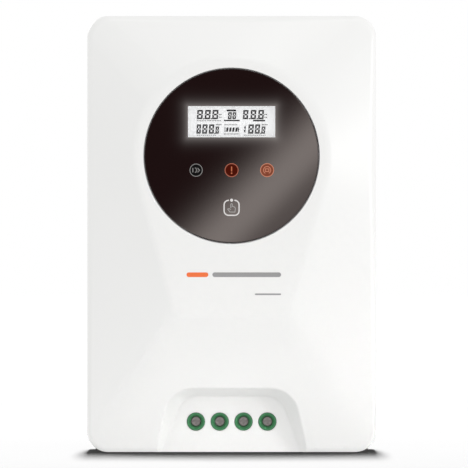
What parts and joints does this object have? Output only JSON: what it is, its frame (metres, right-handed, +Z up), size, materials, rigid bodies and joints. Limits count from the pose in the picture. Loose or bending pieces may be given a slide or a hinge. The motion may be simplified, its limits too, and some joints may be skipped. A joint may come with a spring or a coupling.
{
  "type": "wall-mounted solar charge controller",
  "caption": "Wall-mounted solar charge controller: sculpted white cover, round black display window, finned metal back and green screw terminals in a recess at its base.",
  "frame": {"origin": "middle of the unit's base, on the surface it stands on, midway between its front and its wall face", "axes": "+Z up, +X to the right of someone facing the display, +Y from the display to the wall"},
  "size_m": [0.2, 0.092, 0.302],
  "materials": {
    "white_shell": "satin white moulded plastic",
    "black_panel": "polished black display window",
    "black_foam": "soft black foam",
    "lcd_face": "lit pale display glass",
    "white_nylon": "matt white nylon",
    "circuit_board": "green solder mask",
    "clear_guide": "frosted light guide",
    "green_terminal": "green moulded terminal plastic",
    "plated_steel": "nickel-plated steel",
    "turned_brass": "turned brass spacers",
    "bare_copper": "tinned and bare copper",
    "cast_aluminium": "die-cast, fine blasted",
    "zinc_steel": "zinc-plated sheet steel",
    "ferrite": "coated powder core",
    "black_epoxy": "moulded epoxy",
    "capacitor_sleeve": "shrink sleeve",
    "grey_cable": "flat cable sheath",
    "thermal_sheet": "silicone sheet"
  },
  "bodies": {
    "enclosure": {"front_shell": "white_shell", "shell_gasket": "black_foam", "rear_heatsink": "cast_aluminium", "upper_hanger": "zinc_steel", "lower_hanger": "zinc_steel", "cover_screw_1": "plated_steel", "cover_screw_2": "plated_steel", "cover_screw_3": "plated_steel", "cover_screw_4": "plated_steel", "hanger_screw_1": "plated_steel", "hanger_screw_2": "plated_steel", "hanger_screw_3": "plated_steel", "hanger_screw_4": "plated_steel", "display_lens": "black_panel", "lens_gasket": "black_foam", "lcd_panel": "lcd_face", "lcd_backlight": "white_nylon", "display_board": "circuit_board", "touch_spring": "plated_steel", "light_guide": "clear_guide", "display_screw_1": "plated_steel", "display_screw_2": "plated_steel", "main_board": "circuit_board", "board_screw_1": "plated_steel", "board_screw_2": "plated_steel", "board_screw_3": "plated_steel", "board_screw_4": "plated_steel", "board_spacer_1": "turned_brass", "board_spacer_2": "turned_brass", "board_spacer_3": "turned_brass", "board_spacer_4": "turned_brass", "main_header": "white_nylon", "ribbon_cable": "grey_cable", "comm_socket": "black_epoxy", "inductor_core": "ferrite", "inductor_coil": "bare_copper", "capacitor_1": "capacitor_sleeve", "capacitor_2": "capacitor_sleeve", "capacitor_3": "capacitor_sleeve", "mosfet_1": "black_epoxy", "mosfet_2": "black_epoxy", "mosfet_3": "black_epoxy", "thermal_pad": "thermal_sheet", "clamp_bar": "zinc_steel", "terminal_housing_1": "green_terminal", "terminal_tab_1": "bare_copper", "terminal_housing_2": "green_terminal", "terminal_tab_2": "bare_copper", "terminal_housing_3": "green_terminal", "terminal_tab_3": "bare_copper", "terminal_housing_4": "green_terminal", "terminal_tab_4": "bare_copper"},
    "screw_1": {"terminal_screw_1": "plated_steel"},
    "cage_1": {"clamp_cage_1": "plated_steel"},
    "screw_2": {"terminal_screw_2": "plated_steel"},
    "cage_2": {"clamp_cage_2": "plated_steel"},
    "screw_3": {"terminal_screw_3": "plated_steel"},
    "cage_3": {"clamp_cage_3": "plated_steel"},
    "screw_4": {"terminal_screw_4": "plated_steel"},
    "cage_4": {"clamp_cage_4": "plated_steel"}
  },
  "joints": [
    {"name": "screw_1_turn", "type": "hinge", "parent": "enclosure", "child": "screw_1", "pos_m": [-0.02475, -0.0174, 0.021], "axis": [0, 1, 0], "range_deg": [0, 2701]},
    {"name": "cage_1_slide", "type": "slide", "parent": "enclosure", "child": "cage_1", "axis": [0, -1, 0], "range_m": [0, 0.006]},
    {"name": "screw_2_turn", "type": "hinge", "parent": "enclosure", "child": "screw_2", "pos_m": [-0.00825, -0.0174, 0.021], "axis": [0, 1, 0], "range_deg": [0, 2701]},
    {"name": "cage_2_slide", "type": "slide", "parent": "enclosure", "child": "cage_2", "axis": [0, -1, 0], "range_m": [0, 0.006]},
    {"name": "screw_3_turn", "type": "hinge", "parent": "enclosure", "child": "screw_3", "pos_m": [0.00825, -0.0174, 0.021], "axis": [0, 1, 0], "range_deg": [0, 2701]},
    {"name": "cage_3_slide", "type": "slide", "parent": "enclosure", "child": "cage_3", "axis": [0, -1, 0], "range_m": [0, 0.006]},
    {"name": "screw_4_turn", "type": "hinge", "parent": "enclosure", "child": "screw_4", "pos_m": [0.02475, -0.0174, 0.021], "axis": [0, 1, 0], "range_deg": [0, 2701]},
    {"name": "cage_4_slide", "type": "slide", "parent": "enclosure", "child": "cage_4", "axis": [0, -1, 0], "range_m": [0, 0.006]}
  ],
  "couplings": [
    {"joint": "screw_1_turn", "follows": "cage_1_slide", "rad_per_m": 7854},
    {"joint": "screw_2_turn", "follows": "cage_2_slide", "rad_per_m": 7854},
    {"joint": "screw_3_turn", "follows": "cage_3_slide", "rad_per_m": 7854},
    {"joint": "screw_4_turn", "follows": "cage_4_slide", "rad_per_m": 7854}
  ]
}
